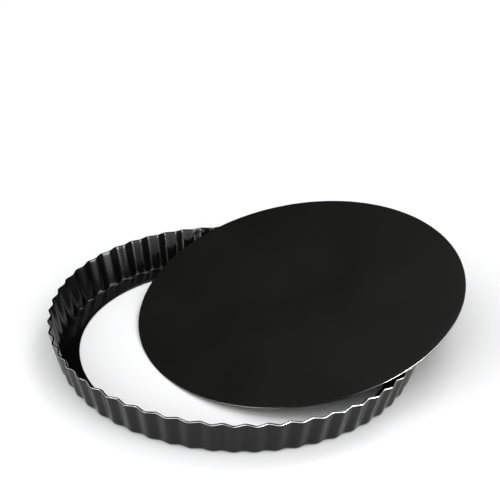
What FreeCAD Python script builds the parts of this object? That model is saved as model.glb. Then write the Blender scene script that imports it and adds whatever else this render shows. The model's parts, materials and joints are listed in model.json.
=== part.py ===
"""Loose-bottom tart pan: a fluted ring with a flat ledge, and the round base plate that leans on it.

Millimetres, +Z up, table at Z = 0. The origin is the middle of the whole pan's footprint.
"""
import FreeCAD, Part
import math
import os

import Sketcher

SIZES = [
    ("rim_radius", 140.1, "outer face of the wall at the rim, mean of lobes and creases"),
    ("foot_radius", 132.2, "outer face of the wall at the foot, mean of lobes and creases"),
    ("ring_height", 29.1, "table to rim"),
    ("sheet_thickness", 1.0, "pressed sheet of the ring"),
    ("opening_radius", 117.7, "round opening in the ledge"),
    ("flute_count", 56, "flutes around the wall"),
    ("rim_flute_depth", 2.4, "lobe to crease at the rim"),
    ("foot_flute_depth", 1.7, "lobe to crease at the foot"),
    ("crease_share", 0.45, "part of each flute taken by its crease"),
    ("flute_heading", 0.72, "angle of the first lobe from +X, degrees"),
    ("base_radius", 126.3, "base plate"),
    ("base_thickness", 0.9, "base plate"),
    ("base_edge_radius", 0.3, "rounding of the base plate's edge"),
    ("base_tilt", 13.46, "slope of the leaning base plate, degrees"),
    ("base_heading", 30.1, "direction in which the base plate rises, degrees from +X"),
    ("base_shift", 56.2, "middle of the base plate from the ring's middle, along its heading"),
    ("base_sideways", 2.2, "middle of the base plate from the ring's middle, across its heading"),
]


def make_sheet(doc):
    """The driving dimensions, one alias a row."""
    sheet = doc.addObject("Spreadsheet::Sheet", "sizes")
    for row, (alias, value, note) in enumerate(SIZES, start=1):
        sheet.set(f"A{row}", alias)
        sheet.set(f"B{row}", str(value))
        sheet.set(f"C{row}", note)
        sheet.setAlias(f"B{row}", alias)
    doc.recompute()


def origin_plane(body, role):
    """One of the body's own origin planes, by its role."""
    return next(plane for plane in body.Origin.OriginFeatures if plane.Role == role)


def level_sketch(body, name, height=None):
    """A horizontal sketch, at the height that an expression on the sheet gives."""
    sketch = body.newObject("Sketcher::SketchObject", name)
    sketch.AttachmentSupport = [(origin_plane(body, "XY_Plane"), "")]
    sketch.MapMode = "FlatFace"
    if height:
        sketch.setExpression("AttachmentOffset.Base.z", height)
    return sketch


def circle_sketch(body, name, radius):
    """A circle about the body's axis, with its radius bound to the sheet."""
    sketch = level_sketch(body, name)
    circle = Part.Circle(FreeCAD.Vector(), FreeCAD.Vector(0, 0, 1), 1.0)
    sketch.addGeometry(circle)
    sketch.addConstraint(Sketcher.Constraint("Coincident", 0, 3, -1, 1))
    index = sketch.addConstraint(Sketcher.Constraint("Radius", 0, 1.0))
    sketch.setExpression(f"Constraints[{index}]", radius)
    return sketch


def polar(radius, angle):
    return FreeCAD.Vector(radius * math.cos(angle), radius * math.sin(angle), 0)


def fluted_outline(radius, depth, count, crease_share):
    """Arcs of a fluted ring: wide lobes bulging out, joined by narrow creases.

    Both arcs of a flute meet on the same slope, so each takes its share of the depth.
    """
    half_pitch = math.pi / count
    lobe_top = radius + depth / 2
    crease_bottom = radius - depth / 2
    joint_radius = crease_bottom + depth * crease_share
    joint_angle = half_pitch * (1 - crease_share)
    arcs = []
    for flute in range(count):
        middle = 2 * half_pitch * flute
        lobe_start = polar(joint_radius, middle - joint_angle)
        lobe_end = polar(joint_radius, middle + joint_angle)
        next_lobe = polar(joint_radius, middle + 2 * half_pitch - joint_angle)
        arcs.append(Part.Arc(lobe_start, polar(lobe_top, middle), lobe_end))
        arcs.append(Part.Arc(lobe_end, polar(crease_bottom, middle + half_pitch), next_lobe))
    return arcs


def fluted_loft(body, kind, name, foot, rim):
    """A loft between two fluted outlines, each given as (height, radius, depth)."""
    sheet = body.Document.sizes
    sketches = []
    for end, (height, radius, depth) in (("foot", foot), ("rim", rim)):
        sketch = level_sketch(body, f"{name}_{end}", height)
        sketch.addGeometry(fluted_outline(radius, depth, int(sheet.flute_count), sheet.crease_share))
        sketches.append(sketch)
    loft = body.newObject(kind, name)
    loft.Profile = sketches[0]
    loft.Sections = [sketches[1]]
    loft.Ruled = True
    return loft


def make_fluted_ring(doc):
    """Pressed ring: slanted fluted wall, flat ledge turned in at the foot, plain round opening."""
    sheet = doc.sizes
    body = doc.addObject("PartDesign::Body", "fluted_ring")
    slant = (sheet.rim_radius - sheet.foot_radius) / sheet.ring_height
    wall_width = sheet.sheet_thickness * math.hypot(1, slant)
    fluted_loft(body, "PartDesign::AdditiveLoft", "outer_wall",
                (None, sheet.foot_radius, sheet.foot_flute_depth),
                ("sizes.ring_height", sheet.rim_radius, sheet.rim_flute_depth))
    fluted_loft(body, "PartDesign::SubtractiveLoft", "inner_wall",
                ("sizes.sheet_thickness",
                 sheet.foot_radius + slant * sheet.sheet_thickness - wall_width,
                 sheet.foot_flute_depth),
                ("sizes.ring_height", sheet.rim_radius - wall_width, sheet.rim_flute_depth))
    opening = body.newObject("PartDesign::Pocket", "opening")
    opening.Profile = circle_sketch(body, "opening_outline", "sizes.opening_radius")
    opening.Type = "ThroughAll"
    opening.Reversed = True
    body.Tip = opening
    body.Placement.Rotation = FreeCAD.Rotation(FreeCAD.Vector(0, 0, 1), sheet.flute_heading)
    return body


def make_loose_base(doc):
    """Flat round plate: its low edge on the table inside the opening, its underside on the rim."""
    sheet = doc.sizes
    body = doc.addObject("PartDesign::Body", "loose_base")
    plate = body.newObject("PartDesign::Pad", "plate")
    plate.Profile = circle_sketch(body, "plate_outline", "sizes.base_radius")
    plate.setExpression("Length", "sizes.base_thickness")
    doc.recompute()
    edge = body.newObject("PartDesign::Fillet", "edge")
    edge.Base = (plate, ["Face1", "Face3"])
    edge.UseAllEdges = True
    edge.setExpression("Radius", "sizes.base_edge_radius")
    body.Tip = edge
    heading = FreeCAD.Rotation(FreeCAD.Vector(0, 0, 1), sheet.base_heading)
    tilt = FreeCAD.Rotation(FreeCAD.Vector(0, 1, 0), -sheet.base_tilt)
    low_edge = (sheet.base_radius - sheet.base_edge_radius) * math.sin(math.radians(sheet.base_tilt))
    rounding = sheet.base_edge_radius * (1 - math.cos(math.radians(sheet.base_tilt)))
    middle = FreeCAD.Vector(sheet.base_shift, sheet.base_sideways, low_edge + rounding)
    body.Placement = FreeCAD.Placement(heading.multVec(middle), heading.multiply(tilt))
    return body


def centre_on_footprint(bodies):
    """Move the pan so that the middle of its whole footprint is the origin."""
    boxes = [body.Shape.optimalBoundingBox(False, False) for body in bodies]
    middle_x = (min(box.XMin for box in boxes) + max(box.XMax for box in boxes)) / 2
    middle_y = (min(box.YMin for box in boxes) + max(box.YMax for box in boxes)) / 2
    for body in bodies:
        body.Placement.Base = body.Placement.Base - FreeCAD.Vector(middle_x, middle_y, 0)
    return middle_x, middle_y


def check(doc, bodies):
    """Stop on a failed feature or a bad solid."""
    for item in doc.Objects:
        if "Invalid" in item.State or "Error" in item.State:
            raise RuntimeError(f"{item.Label} failed: {item.State}")
    for body in bodies:
        if body.Shape.isNull() or not body.Shape.isValid() or len(body.Shape.Solids) != 1:
            raise RuntimeError(f"{body.Label} isn't one valid solid")


def main():
    doc = FreeCAD.newDocument("tart_pan")
    make_sheet(doc)
    bodies = [make_fluted_ring(doc), make_loose_base(doc)]
    doc.recompute()
    middle_x, middle_y = centre_on_footprint(bodies)
    doc.recompute()
    check(doc, bodies)
    os.makedirs("parts", exist_ok=True)
    for body in bodies:
        body.Shape.exportStep(f"parts/{body.Label}.step")
        print(body.Label, "volume", round(body.Shape.Volume, 1), body.Shape.BoundBox)
    print("ring middle at", round(-middle_x, 2), round(-middle_y, 2))
    print("clearance", round(bodies[0].Shape.distToShape(bodies[1].Shape)[0], 3))


main()
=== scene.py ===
"""Looks of the loose-bottom tart pan: fluted ring, leaning base plate, pale table, soft light."""
import json
import math

import bmesh
import bpy
from bpy.props import (FloatProperty, FloatVectorProperty, IntProperty, PointerProperty,
                       StringProperty)
from mathutils import Matrix, Vector


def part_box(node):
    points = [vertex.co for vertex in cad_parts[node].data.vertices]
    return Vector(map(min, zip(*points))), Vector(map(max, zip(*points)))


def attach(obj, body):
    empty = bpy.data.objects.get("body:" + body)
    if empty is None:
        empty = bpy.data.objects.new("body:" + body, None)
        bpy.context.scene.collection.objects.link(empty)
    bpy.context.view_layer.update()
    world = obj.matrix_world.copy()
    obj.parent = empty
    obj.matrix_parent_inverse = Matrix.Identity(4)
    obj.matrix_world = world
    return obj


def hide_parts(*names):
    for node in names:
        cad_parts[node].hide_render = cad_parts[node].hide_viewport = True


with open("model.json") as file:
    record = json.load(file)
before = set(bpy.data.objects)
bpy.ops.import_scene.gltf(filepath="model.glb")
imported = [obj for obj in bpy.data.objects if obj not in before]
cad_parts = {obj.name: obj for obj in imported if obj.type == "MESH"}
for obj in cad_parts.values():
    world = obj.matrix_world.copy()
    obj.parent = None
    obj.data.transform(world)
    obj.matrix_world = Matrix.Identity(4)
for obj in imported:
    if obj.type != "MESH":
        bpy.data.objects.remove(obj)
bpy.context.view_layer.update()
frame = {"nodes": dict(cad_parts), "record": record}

bl_info = {
    "name": "Loose-bottom tart pan",
    "version": (1, 0, 0),
    "blender": (4, 5, 0),
    "location": "3D Viewport > Sidebar > Tart pan",
    "description": "Builds a fluted tart ring, its loose base plate and a plain studio",
    "category": "Object",
}

MM = 0.001
RIM_BEVEL = 0.4 * MM  # rounding of both corners of the cut rim
WELD_REACH = 0.001 * MM  # vertices nearer than this are joined where the ring closes on itself

# mesh steps along the ring's cross-section
LIP_STEPS = 8  # over the rolled lip of the opening
LEDGE_STEPS = 6
OUTER_CORNER_STEPS = 8  # over the outer face of the foot corner
INNER_CORNER_STEPS = 6  # over its inner face
WALL_STEPS = 12
RIM_STEPS = 4  # over each corner of the cut rim, and over the flat between them

# mesh steps of the base plate
PLATE_STEPS = 256  # round the plate
PLATE_EDGE_STEPS = 5  # over the upper and the lower rounding of its edge
PLATE_SHARES = (0.25, 0.5, 0.75, 0.95)  # of its radius, where its flat faces have rings of vertices

# kinds of node that come up often
MATH = "ShaderNodeMath"
VECTOR_MATH = "ShaderNodeVectorMath"
MAP_RANGE = "ShaderNodeMapRange"
NOISE = "ShaderNodeTexNoise"
SEPARATE = "ShaderNodeSeparateXYZ"

# ---------------------------------------------------------------- places, from the frame

RING_LOW, RING_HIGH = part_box("fluted_ring")
RING_MIDDLE = Vector(((RING_LOW.x + RING_HIGH.x) / 2, (RING_LOW.y + RING_HIGH.y) / 2, 0))
LOBE_RADIUS = (RING_HIGH.x - RING_LOW.x) / 2

PLATE_TOP = next(mount for mount in frame["record"]["mounts"] if mount["name"] == "plate_top")
PLATE_MIDDLE = Vector(PLATE_TOP["pos_m"])
PLATE_NORMAL = Vector(PLATE_TOP["axis"]).normalized()


def plate_size():
    """Radius and thickness of the base plate, from its CAD node and the mount on its top face."""
    spokes = [vertex.co - PLATE_MIDDLE for vertex in frame["nodes"]["loose_base"].data.vertices]
    depths = [-spoke.dot(PLATE_NORMAL) for spoke in spokes]
    radii = [spoke.cross(PLATE_NORMAL).length for spoke in spokes]
    return max(radii), max(depths)


PLATE_RADIUS, PLATE_THICKNESS = plate_size()


# ---------------------------------------------------------------- studio values

TABLE_REACH = 8.0  # from the table's middle to its sides, in metres
SENSOR_WIDTH = 36.0  # of the camera, in millimetres

# radiance of the white tent round the table, where 1 is the brightest white
TENT_MIDDLE = 0.97
TENT_OPEN = (-0.46, -1.4, 0)  # how much more light comes from its open side, at the front left

SOFTBOX_REACH = 1.5  # from the ring's middle, in metres
SOFTBOXES = (
    # name, heading and rise in degrees, width and height in metres, radiance, lights the table too
    ("key_front_right", 327, 9, (0.65, 0.5), 30.0, False),
    ("front_card", 284, 7, (1.5, 0.36), 4.4, False),
    ("overhead_front", 312, 57, (0.7, 0.6), 2.5, True),
    ("overhead_right", 355, 50, (1.1, 0.7), 6.0, False),
    ("overhead_left", 198, 56, (0.6, 0.5), 5.0, False),
    ("overhead_back", 50, 62, (0.6, 0.5), 4.0, True),
)


# ---------------------------------------------------------------- small helpers

def linear(hex_colour):
    """An sRGB hex colour as linear RGBA."""
    channels = [int(hex_colour[start:start + 2], 16) / 255 for start in (1, 3, 5)]
    return (*(c / 12.92 if c <= 0.04045 else ((c + 0.055) / 1.055) ** 2.4 for c in channels), 1.0)


def add_node(tree, kind, inputs=None, **settings):
    """A node of a tree, with its settings and inputs.

    An input is given as a value, a socket, or a node whose first output it is linked to.
    """
    node = tree.nodes.new(kind)
    for name, value in settings.items():
        setattr(node, name, value)
    for key, value in (inputs or {}).items():
        if isinstance(value, bpy.types.Node):
            value = value.outputs[0]
        if isinstance(value, bpy.types.NodeSocket):
            tree.links.new(value, node.inputs[key])
        else:
            node.inputs[key].default_value = value
    return node


def new_object(name, data):
    """An object in the scene, at the origin, that shows a mesh, a light or a camera."""
    piece = bpy.data.objects.new(name, data)
    bpy.context.scene.collection.objects.link(piece)
    return piece


def arc_points(middle, radius, start, end, steps):
    """Points of a round corner in a cross-section, angles in radians from the outward direction."""
    angles = [start + (end - start) * i / steps for i in range(steps + 1)]
    return [(middle[0] + radius * math.cos(a), middle[1] + radius * math.sin(a)) for a in angles]


def line_points(start, end, steps):
    """Points between two ends of a straight stretch, without the ends."""
    shares = [i / steps for i in range(1, steps)]
    return [tuple(a + (b - a) * share for a, b in zip(start, end)) for share in shares]


# ---------------------------------------------------------------- materials

def new_material(name, colour):
    """A material of one colour, with its node tree and its Principled shader."""
    material = bpy.data.materials.new(name)
    material.use_nodes = True
    shader = material.node_tree.nodes["Principled BSDF"]
    shader.inputs["Base Color"].default_value = linear(colour)
    return material, material.node_tree, shader


def place_in_mm(tree):
    """The place on a piece in millimetres, so that a pattern's scale counts per millimetre."""
    place = add_node(tree, "ShaderNodeTexCoord").outputs["Object"]
    return add_node(tree, VECTOR_MATH, {0: place, "Scale": 1 / MM}, operation="SCALE")


def gloss_coating(colour):
    """Sprayed and baked PTFE non-stick coating on steel sheet: deep black, smooth, with a faint
    orange-peel ripple that softens what it reflects."""
    material, tree, shader = new_material("non_stick_coating_gloss", colour)
    place = place_in_mm(tree)
    # ripples 1.8 mm wide, and a grain of 0.3 mm
    peel = add_node(tree, NOISE, {"Vector": place, "Scale": 0.55, "Detail": 2.0})
    grain = add_node(tree, NOISE, {"Vector": place, "Scale": 3.0, "Detail": 2.0})
    rough = add_node(tree, MAP_RANGE, {"Value": grain, "From Min": 0.3, "From Max": 0.7,
                                       "To Min": 0.15, "To Max": 0.2})
    bump = add_node(tree, "ShaderNodeBump",
                    {"Height": peel, "Strength": 0.25, "Distance": 0.05 * MM})
    shader.inputs["IOR"].default_value = 1.315
    tree.links.new(rough.outputs[0], shader.inputs["Roughness"])
    tree.links.new(bump.outputs[0], shader.inputs["Normal"])
    return material


def matte_coating(colour):
    """The same coating on the flat plate, rolled on: even satin black with a fine grain."""
    material, tree, shader = new_material("non_stick_coating_matte", colour)
    place = place_in_mm(tree)
    # a grain of 0.6 mm, and clouds 50 mm wide where the roller laid more or less
    grain = add_node(tree, NOISE, {"Vector": place, "Scale": 1.6, "Detail": 3.0})
    cloud = add_node(tree, NOISE, {"Vector": place, "Scale": 0.02, "Detail": 2.0})
    rough = add_node(tree, MAP_RANGE, {"Value": cloud, "From Min": 0.3, "From Max": 0.7,
                                       "To Min": 0.46, "To Max": 0.54})
    bump = add_node(tree, "ShaderNodeBump",
                    {"Height": grain, "Strength": 0.3, "Distance": 0.04 * MM})
    shader.inputs["IOR"].default_value = 1.38
    tree.links.new(rough.outputs[0], shader.inputs["Roughness"])
    tree.links.new(bump.outputs[0], shader.inputs["Normal"])
    return material


def bare_steel(colour):
    """Cold-rolled steel where the sheet was sheared after coating: bright bare metal, with a fine
    grain that breaks up what it reflects."""
    material, tree, shader = new_material("sheared_steel_edge", colour)
    # a grain of 0.8 mm, coarser than the shears leave, so that it shows
    grain = add_node(tree, NOISE, {"Vector": place_in_mm(tree), "Scale": 1.2, "Detail": 2.0})
    rough = add_node(tree, MAP_RANGE, {"Value": grain, "To Min": 0.12, "To Max": 0.28})
    shader.inputs["Metallic"].default_value = 1.0
    tree.links.new(rough.outputs[0], shader.inputs["Roughness"])
    return material


def table_paper(colour):
    """Matt white studio paper: no shine at all, so the table shows only light and shadow."""
    material, _tree, shader = new_material("studio_paper", colour)
    shader.inputs["Roughness"].default_value = 0.9
    shader.inputs["Specular IOR Level"].default_value = 0.0
    return material


# ---------------------------------------------------------------- fluted ring

def ring_section(sizes):
    """Cross-section of the ring as (radius, height) points, and the rows of its bright edge.

    It runs from the opening's lip along the underside, up the outer face, over the rim and back
    down. The bright edge lies between the two rows given, over the rim's outer corner.
    """
    thick = sizes.sheet_thickness
    slant = math.atan2(sizes.rim_radius - sizes.foot_radius, sizes.ring_height)
    # the foot corner's middle lies one corner radius above the table and inside the outer face
    corner = sizes.corner_radius
    face_radius = sizes.foot_radius + corner * math.tan(slant)
    corner_middle = (face_radius - corner / math.cos(slant), corner)
    outer_corner = arc_points(corner_middle, corner, -0.5 * math.pi, -slant, OUTER_CORNER_STEPS)
    inner_corner = arc_points(corner_middle, corner - thick, -slant, -0.5 * math.pi,
                              INNER_CORNER_STEPS)
    # the rim is cut square to the slanted wall, and both its corners are a little round
    bevel = RIM_BEVEL
    rim_middles = [
        (sizes.rim_radius - depth * math.cos(slant) - bevel * math.sin(slant),
         sizes.ring_height - (thick - depth) * math.sin(slant) - bevel * math.cos(slant))
        for depth in (bevel, thick - bevel)]
    rim_outer = arc_points(rim_middles[0], bevel, -slant, 0.5 * math.pi - slant, RIM_STEPS)
    rim_inner = arc_points(rim_middles[1], bevel, 0.5 * math.pi - slant, math.pi - slant, RIM_STEPS)
    half = thick / 2
    lip = arc_points((sizes.opening_radius + half, half), half, 0.5 * math.pi, 1.5 * math.pi,
                     LIP_STEPS)
    points = list(lip)
    points += line_points(lip[-1], outer_corner[0], LEDGE_STEPS) + outer_corner
    points += line_points(outer_corner[-1], rim_outer[0], WALL_STEPS)
    edge_rows = (len(points), len(points) + RIM_STEPS)
    points += rim_outer + line_points(rim_outer[-1], rim_inner[0], RIM_STEPS) + rim_inner
    points += line_points(rim_inner[-1], inner_corner[0], WALL_STEPS) + inner_corner
    points += line_points(inner_corner[-1], lip[0], LEDGE_STEPS)
    return points, edge_rows


def section_mesh(points):
    """The cross-section as loose vertices, radius along X and height along Z."""
    mesh = bpy.data.meshes.new("ring_section")
    mesh.from_pydata([(radius, 0, height) for radius, height in points], [], [])
    return mesh


FLUTE_INPUTS = (
    ("Section", "Geometry"), ("Flutes", "Int"), ("Steps per flute", "Int"),
    ("First lobe", "Float"), ("Rim depth", "Float"), ("Foot depth", "Float"),
    ("Rim dip", "Float"), ("Rim crispness", "Float"), ("Foot crispness", "Float"),
    ("Ledge start", "Float"), ("Ledge end", "Float"), ("Height", "Float"),
    ("Edge start", "Int"), ("Edge end", "Int"), ("Middle", "Vector"),
    ("Finish", "Material"), ("Edge finish", "Material"),
)


def section_grid(tree, given):
    """A grid with a column for each step round the ring and a row for each point of the section.

    With it come the turn round the ring and the row of each vertex, and the radius and the height
    of the section's point in that row. The last column and row lie over the first ones.
    """
    place = add_node(tree, "GeometryNodeInputPosition")
    columns = add_node(tree, MATH, {0: given["Flutes"], 1: given["Steps per flute"]},
                       operation="MULTIPLY")
    size = add_node(tree, "GeometryNodeAttributeDomainSize", {"Geometry": given["Section"]})
    rows = size.outputs["Point Count"]
    grid = add_node(tree, "GeometryNodeMeshGrid", {
        "Size X": 1.0, "Size Y": 1.0,
        "Vertices X": add_node(tree, MATH, {0: columns, 1: 1.0}, operation="ADD"),
        "Vertices Y": add_node(tree, MATH, {0: rows, 1: 1.0}, operation="ADD")})
    # the grid lies between -0.5 and 0.5 both ways
    spot = add_node(tree, SEPARATE, {0: place}).outputs
    across = add_node(tree, MATH, {0: spot["X"], 1: 0.5}, operation="ADD")
    turn = add_node(tree, MATH, {0: across, 1: 2 * math.pi}, operation="MULTIPLY")
    along = add_node(tree, MATH, {0: spot["Y"], 1: 0.5}, operation="ADD")
    row = add_node(tree, MATH, {0: along, 1: rows}, operation="MULTIPLY")
    whole_row = add_node(tree, MATH, {0: row}, operation="ROUND")
    point = add_node(tree, MATH, {0: whole_row, 1: rows}, operation="MODULO")
    sample = add_node(tree, "GeometryNodeSampleIndex",
                      {"Geometry": given["Section"], "Index": point, "Value": place},
                      data_type="FLOAT_VECTOR")
    outline = add_node(tree, SEPARATE, {0: sample.outputs["Value"]}).outputs
    return grid, turn, row, outline["X"], outline["Z"]


def flute_wave(tree, given, turn, height):
    """1 at a lobe and -1 at a crease, on a wave between a sine and a zigzag.

    The crisper it is, the straighter its flanks.
    """
    angle = add_node(tree, MATH, {0: turn, 1: given["First lobe"]}, operation="SUBTRACT")
    phase = add_node(tree, MATH, {0: angle, 1: given["Flutes"]}, operation="MULTIPLY")
    cosine = add_node(tree, MATH, {0: phase}, operation="COSINE")
    crispness = add_node(tree, MAP_RANGE, {
        "Value": height, "From Max": given["Height"],
        "To Min": given["Foot crispness"], "To Max": given["Rim crispness"]})
    flattened = add_node(tree, MATH, {0: cosine, 1: crispness}, operation="MULTIPLY")
    leaning = add_node(tree, MATH, {0: flattened}, operation="ARCSINE")
    full_lean = add_node(tree, MATH, {0: crispness}, operation="ARCSINE")
    return add_node(tree, MATH, {0: leaning, 1: full_lean}, operation="DIVIDE")


def fluted_place(tree, given, turn, radius, height):
    """Where each vertex goes: its section's point, turned round the ring and pushed in flutes."""
    wave = flute_wave(tree, given, turn, height)
    depth = add_node(tree, MAP_RANGE, {
        "Value": height, "From Max": given["Height"],
        "To Min": given["Foot depth"], "To Max": given["Rim depth"]})
    half_depth = add_node(tree, MATH, {0: depth, 1: 0.5}, operation="MULTIPLY")
    full_push = add_node(tree, MATH, {0: wave, 1: half_depth}, operation="MULTIPLY")
    # the ledge is round at its opening and takes up the flutes on the way to the wall
    share = add_node(tree, MAP_RANGE, {
        "Value": radius, "From Min": given["Ledge start"], "From Max": given["Ledge end"]})
    push = add_node(tree, MATH, {0: full_push, 1: share}, operation="MULTIPLY")
    reach = add_node(tree, MATH, {0: radius, 1: push}, operation="ADD")
    # the lobes were drawn further out of the flat sheet, so the rim dips a little there
    half_dip = add_node(tree, MATH, {0: given["Rim dip"], 1: 0.5}, operation="MULTIPLY")
    dip_here = add_node(tree, MAP_RANGE, {
        "Value": height, "From Max": given["Height"], "To Min": 0.0, "To Max": half_dip})
    lobe = add_node(tree, MATH, {0: wave, 1: 1.0}, operation="ADD")
    dip = add_node(tree, MATH, {0: lobe, 1: dip_here}, operation="MULTIPLY")
    cosine = add_node(tree, MATH, {0: turn}, operation="COSINE")
    sine = add_node(tree, MATH, {0: turn}, operation="SINE")
    place = add_node(tree, "ShaderNodeCombineXYZ", {
        "X": add_node(tree, MATH, {0: reach, 1: cosine}, operation="MULTIPLY"),
        "Y": add_node(tree, MATH, {0: reach, 1: sine}, operation="MULTIPLY"),
        "Z": add_node(tree, MATH, {0: height, 1: dip}, operation="SUBTRACT")})
    return add_node(tree, VECTOR_MATH, {0: place, 1: given["Middle"]}, operation="ADD")


def flute_tree():
    """Geometry Nodes: turns a cross-section round the ring's middle, in and out in flutes."""
    tree = bpy.data.node_groups.new("fluted_sheet_ring", "GeometryNodeTree")
    for name, kind in FLUTE_INPUTS:
        tree.interface.new_socket(name, in_out="INPUT", socket_type=f"NodeSocket{kind}")
    tree.interface.new_socket("Ring", in_out="OUTPUT", socket_type="NodeSocketGeometry")
    given = add_node(tree, "NodeGroupInput").outputs
    grid, turn, row, radius, height = section_grid(tree, given)
    # the faces of the bright edge are marked by name, because the grid moves next
    after_start = add_node(tree, MATH, {0: row, 1: given["Edge start"]}, operation="GREATER_THAN")
    before_end = add_node(tree, MATH, {0: row, 1: given["Edge end"]}, operation="LESS_THAN")
    on_edge = add_node(tree, MATH, {0: after_start, 1: before_end}, operation="MULTIPLY")
    marked = add_node(tree, "GeometryNodeStoreNamedAttribute",
                      {"Geometry": grid, "Name": "cut_edge", "Value": on_edge},
                      data_type="BOOLEAN", domain="FACE")
    place = fluted_place(tree, given, turn, radius, height)
    moved = add_node(tree, "GeometryNodeSetPosition", {"Geometry": marked, "Position": place})
    closed = add_node(tree, "GeometryNodeMergeByDistance",
                      {"Geometry": moved, "Distance": WELD_REACH})
    smooth = add_node(tree, "GeometryNodeSetShadeSmooth", {"Geometry": closed})
    real = add_node(tree, "GeometryNodeRealizeInstances", {"Geometry": smooth})
    coated = add_node(tree, "GeometryNodeSetMaterial",
                      {"Geometry": real, "Material": given["Finish"]})
    edge = add_node(tree, "GeometryNodeInputNamedAttribute", {"Name": "cut_edge"},
                    data_type="BOOLEAN")
    trimmed = add_node(tree, "GeometryNodeSetMaterial",
                       {"Geometry": coated, "Selection": edge.outputs["Attribute"],
                        "Material": given["Edge finish"]})
    add_node(tree, "NodeGroupOutput", {"Ring": trimmed})
    return tree


def run_tree(piece, tree, values):
    """Gives a piece the mesh that a Geometry Nodes tree makes, with the tree's named inputs set."""
    modifier = piece.modifiers.new("shape", "NODES")
    modifier.node_group = tree
    for item in tree.interface.items_tree:
        if item.in_out == "INPUT" and item.name in values:
            modifier[item.identifier] = values[item.name]
    evaluated = piece.evaluated_get(bpy.context.evaluated_depsgraph_get())
    mesh = bpy.data.meshes.new_from_object(evaluated)
    piece.modifiers.clear()
    piece.data = mesh
    mesh.name = piece.name


def turn_faces_outwards(mesh):
    """Recalculates the normals of a closed mesh."""
    shape = bmesh.new()
    shape.from_mesh(mesh)
    bmesh.ops.recalc_face_normals(shape, faces=shape.faces)
    shape.to_mesh(mesh)
    shape.free()


# ---------------------------------------------------------------- base plate

def turned_mesh(name, section, steps, edge_rows):
    """A closed round plate, from (radius, height) points running from its top to its underside.

    The faces in the edge rows take the second material.
    """
    shape = bmesh.new()
    angles = [2 * math.pi * step / steps for step in range(steps)]
    rings = []
    for radius, height in section:
        rings.append([shape.verts.new((radius * math.cos(angle), radius * math.sin(angle), height))
                      for angle in angles])
    for row, (upper, lower) in enumerate(zip(rings, rings[1:])):
        for step in range(steps):
            after = (step + 1) % steps
            side = shape.faces.new((upper[step], lower[step], lower[after], upper[after]))
            side.material_index = 1 if row in edge_rows else 0
    for rim, height in ((rings[0], section[0][1]), (rings[-1], section[-1][1])):
        middle = shape.verts.new((0, 0, height))
        for step in range(steps):
            shape.faces.new((middle, rim[step], rim[(step + 1) % steps]))
    bmesh.ops.recalc_face_normals(shape, faces=shape.faces)
    for face in shape.faces:
        face.smooth = True
    mesh = bpy.data.meshes.new(name)
    shape.to_mesh(mesh)
    shape.free()
    return mesh


# ---------------------------------------------------------------- table, lights and camera

def make_table(colour):
    """A flat table of studio paper under the pan."""
    mesh = bpy.data.meshes.new("table")
    reach = TABLE_REACH
    corners = [(-reach, -reach, 0), (reach, -reach, 0), (reach, reach, 0), (-reach, reach, 0)]
    mesh.from_pydata(corners, [], [(0, 1, 2, 3)])
    table = new_object("table", mesh)
    mesh.materials.append(table_paper(colour))


def make_lights():
    """Softboxes round the pan, each a lit rectangle that faces the ring's middle.

    A softbox that lights only reflections is a card on the real set: it draws a line on the gloss
    coating and adds next to nothing to the table.
    """
    for name, heading, rise, size, radiance, lights_table in SOFTBOXES:
        turn, lift = math.radians(heading), math.radians(rise)
        towards = Vector((math.cos(lift) * math.cos(turn), math.cos(lift) * math.sin(turn),
                          math.sin(lift)))
        light = bpy.data.lights.new(name, "AREA")
        light.shape = "RECTANGLE"
        light.size, light.size_y = size
        light.energy = radiance * math.pi * size[0] * size[1]
        lamp = new_object(name, light)
        lamp.visible_diffuse = lights_table
        aim = (-towards).to_track_quat("-Z", "Y").to_matrix().to_4x4()
        lamp.matrix_world = Matrix.Translation(RING_MIDDLE + SOFTBOX_REACH * towards) @ aim


def make_world(scene):
    """A white tent that lights the table, open at the front left, and unlit in reflections.

    So the gloss coating shows only the table and the softboxes.
    """
    world = bpy.data.worlds.new("light_tent")
    scene.world = world
    world.use_nodes = True
    tree = world.node_tree
    towards = add_node(tree, "ShaderNodeTexCoord").outputs["Generated"]
    openness = add_node(tree, VECTOR_MATH, {0: towards, 1: TENT_OPEN}, operation="DOT_PRODUCT")
    radiance = add_node(tree, MATH, {0: TENT_MIDDLE, 1: openness.outputs["Value"]}, operation="ADD")
    room = tree.nodes["Background"]
    room.inputs["Color"].default_value = (1, 1, 1, 1)
    tree.links.new(radiance.outputs[0], room.inputs["Strength"])
    world.cycles_visibility.glossy = False


def make_camera(scene, studio):
    """The camera in front of the ring, looking down and leaning to its left."""
    lens = bpy.data.cameras.new("camera")
    lens.lens = studio.lens
    lens.sensor_width = SENSOR_WIDTH
    camera = new_object("camera", lens)
    forward = Vector((0, math.cos(studio.camera_pitch), -math.sin(studio.camera_pitch)))
    level = Vector((1, 0, 0))
    upright = level.cross(forward)
    lean = studio.camera_roll
    right = level * math.cos(lean) + upright * math.sin(lean)
    up = upright * math.cos(lean) - level * math.sin(lean)
    turned = Matrix((right, up, -forward)).transposed().to_4x4()
    camera.matrix_world = Matrix.Translation(RING_MIDDLE + Vector(studio.camera_place)) @ turned
    scene.camera = camera


# ---------------------------------------------------------------- settings

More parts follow.
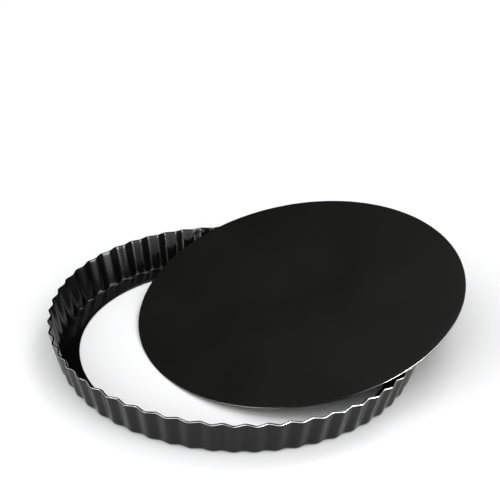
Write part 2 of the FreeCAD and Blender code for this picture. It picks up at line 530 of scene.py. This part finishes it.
class TartPanSizes(bpy.types.PropertyGroup):
    """Sizes of the ring's sheet and flutes, and of the base plate's edge."""

    flute_count: IntProperty(
        name="Flutes", description="Flutes around the wall", default=56, min=8)
    flute_steps: IntProperty(
        name="Steps", description="Mesh steps in each flute", default=22, min=6)
    first_lobe: FloatProperty(
        name="First lobe", description="Angle of the first lobe from +X",
        default=math.radians(0.72), subtype="ANGLE")
    rim_flute_depth: FloatProperty(
        name="Depth at rim", description="Lobe to crease at the rim",
        default=2.1 * MM, unit="LENGTH")
    foot_flute_depth: FloatProperty(
        name="Depth at foot", description="Lobe to crease at the foot",
        default=1.65 * MM, unit="LENGTH")
    rim_dip: FloatProperty(
        name="Rim dip", description="How much lower the rim lies at a lobe than at a crease",
        default=0.4 * MM, unit="LENGTH")
    rim_crispness: FloatProperty(
        name="Crispness at rim", description="0 is a sine wave, 1 is a zigzag",
        default=0.88, min=0.01, max=0.99)
    foot_crispness: FloatProperty(
        name="Crispness at foot", description="0 is a sine wave, 1 is a zigzag",
        default=0.4, min=0.01, max=0.99)
    rim_radius: FloatProperty(
        name="Rim radius", description="Outer face at the rim, mean of lobes and creases",
        default=LOBE_RADIUS - 1.0 * MM, unit="LENGTH")
    foot_radius: FloatProperty(
        name="Foot radius", description="Outer face at the foot, before its corner is rounded",
        default=LOBE_RADIUS - 9.1 * MM, unit="LENGTH")
    opening_radius: FloatProperty(
        name="Opening radius", description="Round opening in the ledge",
        default=LOBE_RADIUS - 23.6 * MM, unit="LENGTH")
    ring_height: FloatProperty(
        name="Height", description="Table to rim", default=RING_HIGH.z, unit="LENGTH")
    sheet_thickness: FloatProperty(
        name="Sheet", description="Thickness of the ring's sheet with its coating",
        default=1.45 * MM, unit="LENGTH")
    corner_radius: FloatProperty(
        name="Foot corner", description="Outer radius of the corner at the foot",
        default=3.5 * MM, unit="LENGTH")
    plate_edge: FloatProperty(
        name="Plate edge", description="Rounding of the base plate's edge",
        default=0.3 * MM, unit="LENGTH")


class TartPanFinish(bpy.types.PropertyGroup):
    """Colours of the coatings, the bare edges and the table, as sRGB hex."""

    ring: StringProperty(
        name="Ring", description="Coating of the ring", default="#070707")
    cut_edge: StringProperty(
        name="Cut edge", description="Bare steel along the rim", default="#efeeeb")
    plate_edge: StringProperty(
        name="Plate edge", description="Steel along the base plate's worn edge", default="#b4b3b0")
    plate: StringProperty(
        name="Base plate", description="Coating of the base plate", default="#0a0a09")
    table: StringProperty(
        name="Table", description="Studio paper", default="#f2f2f3")


class TartPanStudio(bpy.types.PropertyGroup):
    """Place, turn and lens of the camera."""

    camera_place: FloatVectorProperty(
        name="Camera", description="Camera's place from the ring's middle",
        default=(0.0078, -0.9793, 0.6325), subtype="TRANSLATION")
    camera_pitch: FloatProperty(
        name="Pitch", description="How far the camera looks down",
        default=math.radians(29.19), subtype="ANGLE")
    camera_roll: FloatProperty(
        name="Roll", description="How far the camera leans to its left",
        default=math.radians(2.19), subtype="ANGLE")
    lens: FloatProperty(
        name="Lens", description="Focal length in millimetres", default=110.55)


# ---------------------------------------------------------------- operators

class TARTPAN_OT_fluted_ring(bpy.types.Operator):
    """Build the fluted ring in place of its plain CAD node"""

    bl_idname = "tartpan.fluted_ring"
    bl_label = "Fluted ring"

    def execute(self, context):
        sizes = context.scene.tart_pan_sizes
        finish = context.scene.tart_pan_finish
        points, edge_rows = ring_section(sizes)
        ring = new_object("coated_fluted_ring", section_mesh(points))
        run_tree(ring, flute_tree(), {
            "Flutes": sizes.flute_count,
            "Steps per flute": sizes.flute_steps,
            "First lobe": sizes.first_lobe,
            "Rim depth": sizes.rim_flute_depth,
            "Foot depth": sizes.foot_flute_depth,
            "Rim dip": sizes.rim_dip,
            "Rim crispness": sizes.rim_crispness,
            "Foot crispness": sizes.foot_crispness,
            "Ledge start": sizes.opening_radius,
            "Ledge end": sizes.foot_radius - sizes.corner_radius,
            "Height": sizes.ring_height,
            "Edge start": edge_rows[0],
            "Edge end": edge_rows[1],
            "Middle": tuple(RING_MIDDLE),
            "Finish": gloss_coating(finish.ring),
            "Edge finish": bare_steel(finish.cut_edge),
        })
        turn_faces_outwards(ring.data)
        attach(ring, "ring")
        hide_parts("fluted_ring")
        return {"FINISHED"}


class TARTPAN_OT_base_plate(bpy.types.Operator):
    """Build the loose base plate in place of its plain CAD node"""

    bl_idname = "tartpan.base_plate"
    bl_label = "Loose base plate"

    def execute(self, context):
        finish = context.scene.tart_pan_finish
        edge = context.scene.tart_pan_sizes.plate_edge
        flat = PLATE_RADIUS - edge
        top = arc_points((flat, -edge), edge, 0.5 * math.pi, 0, PLATE_EDGE_STEPS)
        underside = arc_points((flat, edge - PLATE_THICKNESS), edge, 0, -0.5 * math.pi,
                               PLATE_EDGE_STEPS)
        inner = [PLATE_RADIUS * share for share in PLATE_SHARES]
        section = [(radius, 0) for radius in inner] + top + underside
        section += [(radius, -PLATE_THICKNESS) for radius in reversed(inner)]
        # steel shows over the upper rounding, from its second step on
        edge_rows = range(len(inner) + 1, len(inner) + PLATE_EDGE_STEPS)
        mesh = turned_mesh("coated_base_plate", section, PLATE_STEPS, edge_rows)
        plate = new_object("coated_base_plate", mesh)
        tilt = Vector((0, 0, 1)).rotation_difference(PLATE_NORMAL).to_matrix().to_4x4()
        mesh.transform(Matrix.Translation(PLATE_MIDDLE) @ tilt)
        mesh.materials.append(matte_coating(finish.plate))
        mesh.materials.append(bare_steel(finish.plate_edge))
        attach(plate, "base")
        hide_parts("loose_base")
        return {"FINISHED"}


class TARTPAN_OT_studio(bpy.types.Operator):
    """Set up the table, the lights and the camera"""

    bl_idname = "tartpan.studio"
    bl_label = "Studio"

    def execute(self, context):
        scene = context.scene
        make_table(scene.tart_pan_finish.table)
        make_lights()
        make_world(scene)
        make_camera(scene, scene.tart_pan_studio)
        scene.view_settings.view_transform = "Standard"
        return {"FINISHED"}


# ---------------------------------------------------------------- panel and main

class TARTPAN_PT_panel(bpy.types.Panel):
    """Sizes, finishes and builders of the tart pan"""

    bl_label = "Tart pan"
    bl_idname = "TARTPAN_PT_panel"
    bl_space_type = "VIEW_3D"
    bl_region_type = "UI"
    bl_category = "Tart pan"

    def draw(self, context):
        scene = context.scene
        for group in (scene.tart_pan_sizes, scene.tart_pan_finish, scene.tart_pan_studio):
            box = self.layout.box()
            for name in group.__annotations__:
                box.prop(group, name)
        for operator in OPERATORS:
            self.layout.operator(operator.bl_idname)


OPERATORS = (TARTPAN_OT_fluted_ring, TARTPAN_OT_base_plate, TARTPAN_OT_studio)
CLASSES = (TartPanSizes, TartPanFinish, TartPanStudio, *OPERATORS, TARTPAN_PT_panel)


def register():
    for item in CLASSES:
        bpy.utils.register_class(item)
    bpy.types.Scene.tart_pan_sizes = PointerProperty(type=TartPanSizes)
    bpy.types.Scene.tart_pan_finish = PointerProperty(type=TartPanFinish)
    bpy.types.Scene.tart_pan_studio = PointerProperty(type=TartPanStudio)


def unregister():
    del bpy.types.Scene.tart_pan_studio
    del bpy.types.Scene.tart_pan_finish
    del bpy.types.Scene.tart_pan_sizes
    for item in reversed(CLASSES):
        bpy.utils.unregister_class(item)


def main():
    register()
    bpy.ops.tartpan.fluted_ring()
    bpy.ops.tartpan.base_plate()
    bpy.ops.tartpan.studio()


if __name__ == "__main__":
    main()
